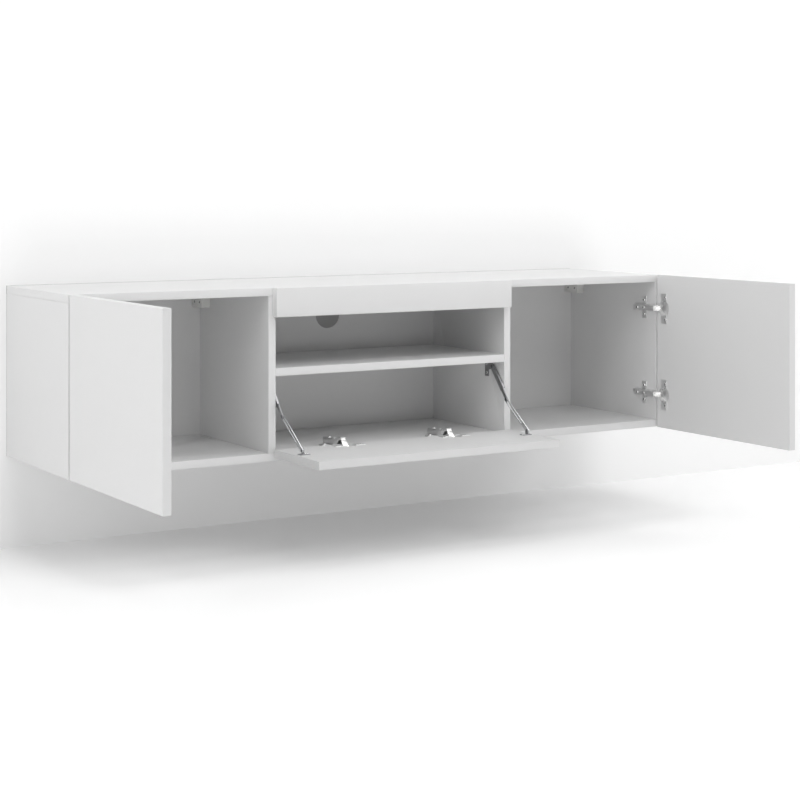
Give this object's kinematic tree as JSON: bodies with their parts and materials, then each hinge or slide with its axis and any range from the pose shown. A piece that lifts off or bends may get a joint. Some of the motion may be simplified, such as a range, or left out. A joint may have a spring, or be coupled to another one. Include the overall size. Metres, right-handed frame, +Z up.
{
  "type": "wall-hung media console",
  "caption": "Wall-hung white media console with a side-hung door at each end, an open niche with a cable hole, and a drop-down flap on folding stays, shown open.",
  "frame": {"origin": "on the wall plane, at the middle of the underside's rear edge", "axes": "+X along the width to the viewer's right, +Y into the wall, +Z up; the doors and the flap are open by a quarter turn at rest"},
  "size_m": [1.4, 0.764, 0.34],
  "materials": {
    "white_board": "satin white melamine-faced board",
    "back_board": "matt white lacquered hardboard",
    "hinge_steel": "nickel-plated pressed steel",
    "stay_steel": "zinc-plated pressed steel",
    "hanger_plastic": "white moulded plastic",
    "hook_steel": "zinc-plated steel",
    "dowel_wood": "plain beech"
  },
  "bodies": {
    "carcass": {"top_panel": "white_board", "bottom_panel": "white_board", "left_side": "white_board", "right_side": "white_board", "left_divider": "white_board", "right_divider": "white_board", "niche_shelf": "white_board", "fascia": "white_board", "left_back": "back_board", "centre_back": "back_board", "right_back": "back_board", "left_door_upper_arm": "hinge_steel", "left_door_lower_arm": "hinge_steel", "right_door_upper_arm": "hinge_steel", "right_door_lower_arm": "hinge_steel", "flap_left_arm": "hinge_steel", "flap_right_arm": "hinge_steel", "left_door_hinge_plates": "hinge_steel", "right_door_hinge_plates": "hinge_steel", "flap_hinge_plates": "hinge_steel", "left_stay_bracket": "stay_steel", "right_stay_bracket": "stay_steel", "left_side_hanger": "hanger_plastic", "left_divider_hanger": "hanger_plastic", "right_divider_hanger": "hanger_plastic", "right_side_hanger": "hanger_plastic", "hanger_hooks": "hook_steel", "wall_plates": "hook_steel", "dowels": "dowel_wood"},
    "left_door": {"left_door": "white_board", "left_door_hinge_cups": "hinge_steel"},
    "right_door": {"right_door": "white_board", "right_door_hinge_cups": "hinge_steel"},
    "flap": {"flap": "white_board", "flap_hinge_cups": "hinge_steel", "left_stay_foot": "stay_steel", "right_stay_foot": "stay_steel"},
    "left_door_upper_link": {"left_door_upper_link": "hinge_steel"},
    "left_door_lower_link": {"left_door_lower_link": "hinge_steel"},
    "right_door_upper_link": {"right_door_upper_link": "hinge_steel"},
    "right_door_lower_link": {"right_door_lower_link": "hinge_steel"},
    "flap_left_link": {"flap_left_link": "hinge_steel"},
    "flap_right_link": {"flap_right_link": "hinge_steel"},
    "left_stay_upper_arm": {"left_stay_upper_arm": "stay_steel"},
    "left_stay_lower_arm": {"left_stay_lower_arm": "stay_steel"},
    "right_stay_upper_arm": {"right_stay_upper_arm": "stay_steel"},
    "right_stay_lower_arm": {"right_stay_lower_arm": "stay_steel"}
  },
  "joints": [
    {"name": "left_door_hinge", "type": "hinge", "parent": "carcass", "child": "left_door", "pos_m": [-0.6935, -0.3515, 0.17], "axis": [0, 0, -1], "range_deg": [-90, 15]},
    {"name": "right_door_hinge", "type": "hinge", "parent": "carcass", "child": "right_door", "pos_m": [0.6935, -0.3515, 0.17], "axis": [0, 0, 1], "range_deg": [-90, 15]},
    {"name": "flap_hinge", "type": "hinge", "parent": "carcass", "child": "flap", "pos_m": [0, -0.35625, 0.00975], "axis": [-1, 0, 0], "range_deg": [0, 90]},
    {"name": "left_door_upper_link_turn", "type": "hinge", "parent": "carcass", "child": "left_door_upper_link", "pos_m": [-0.67174, -0.3492, 0.266], "axis": [0, 0, -1], "range_deg": [-7, 40]},
    {"name": "left_door_lower_link_turn", "type": "hinge", "parent": "carcass", "child": "left_door_lower_link", "pos_m": [-0.67174, -0.3492, 0.074], "axis": [0, 0, -1], "range_deg": [-7, 40]},
    {"name": "right_door_upper_link_turn", "type": "hinge", "parent": "carcass", "child": "right_door_upper_link", "pos_m": [0.67174, -0.3492, 0.266], "axis": [0, 0, 1], "range_deg": [-7, 40]},
    {"name": "right_door_lower_link_turn", "type": "hinge", "parent": "carcass", "child": "right_door_lower_link", "pos_m": [0.67174, -0.3492, 0.074], "axis": [0, 0, 1], "range_deg": [-7, 40]},
    {"name": "flap_left_link_turn", "type": "hinge", "parent": "carcass", "child": "flap_left_link", "pos_m": [-0.126, -0.3488, 0.03413], "axis": [-1, 0, 0], "range_deg": [-50, 1]},
    {"name": "flap_right_link_turn", "type": "hinge", "parent": "carcass", "child": "flap_right_link", "pos_m": [0.126, -0.3488, 0.03413], "axis": [-1, 0, 0], "range_deg": [-50, 1]},
    {"name": "left_stay_upper_turn", "type": "hinge", "parent": "carcass", "child": "left_stay_upper_arm", "pos_m": [-0.2663, -0.302, 0.154], "axis": [-1, 0, 0], "range_deg": [-34, 1]},
    {"name": "left_stay_lower_turn", "type": "hinge", "parent": "flap", "child": "left_stay_lower_arm", "pos_m": [-0.2643, -0.435, 0.0318], "axis": [-1, 0, 0], "range_deg": [-11, 1]},
    {"name": "right_stay_upper_turn", "type": "hinge", "parent": "carcass", "child": "right_stay_upper_arm", "pos_m": [0.2663, -0.302, 0.154], "axis": [-1, 0, 0], "range_deg": [-34, 1]},
    {"name": "right_stay_lower_turn", "type": "hinge", "parent": "flap", "child": "right_stay_lower_arm", "pos_m": [0.2643, -0.435, 0.0318], "axis": [-1, 0, 0], "range_deg": [-11, 1]}
  ],
  "couplings": [
    {"joint": "left_door_upper_link_turn", "follows": "left_door_hinge", "ratio": -0.4341},
    {"joint": "left_door_lower_link_turn", "follows": "left_door_hinge", "ratio": -0.4341},
    {"joint": "right_door_upper_link_turn", "follows": "right_door_hinge", "ratio": -0.4341},
    {"joint": "right_door_lower_link_turn", "follows": "right_door_hinge", "ratio": -0.4341},
    {"joint": "flap_left_link_turn", "follows": "flap_hinge", "ratio": -0.5505},
    {"joint": "flap_right_link_turn", "follows": "flap_hinge", "ratio": -0.5505},
    {"joint": "left_stay_upper_turn", "follows": "flap_hinge", "ratio": -0.355},
    {"joint": "left_stay_lower_turn", "follows": "flap_hinge", "ratio": -0.1099},
    {"joint": "right_stay_upper_turn", "follows": "flap_hinge", "ratio": -0.355},
    {"joint": "right_stay_lower_turn", "follows": "flap_hinge", "ratio": -0.1099}
  ]
}
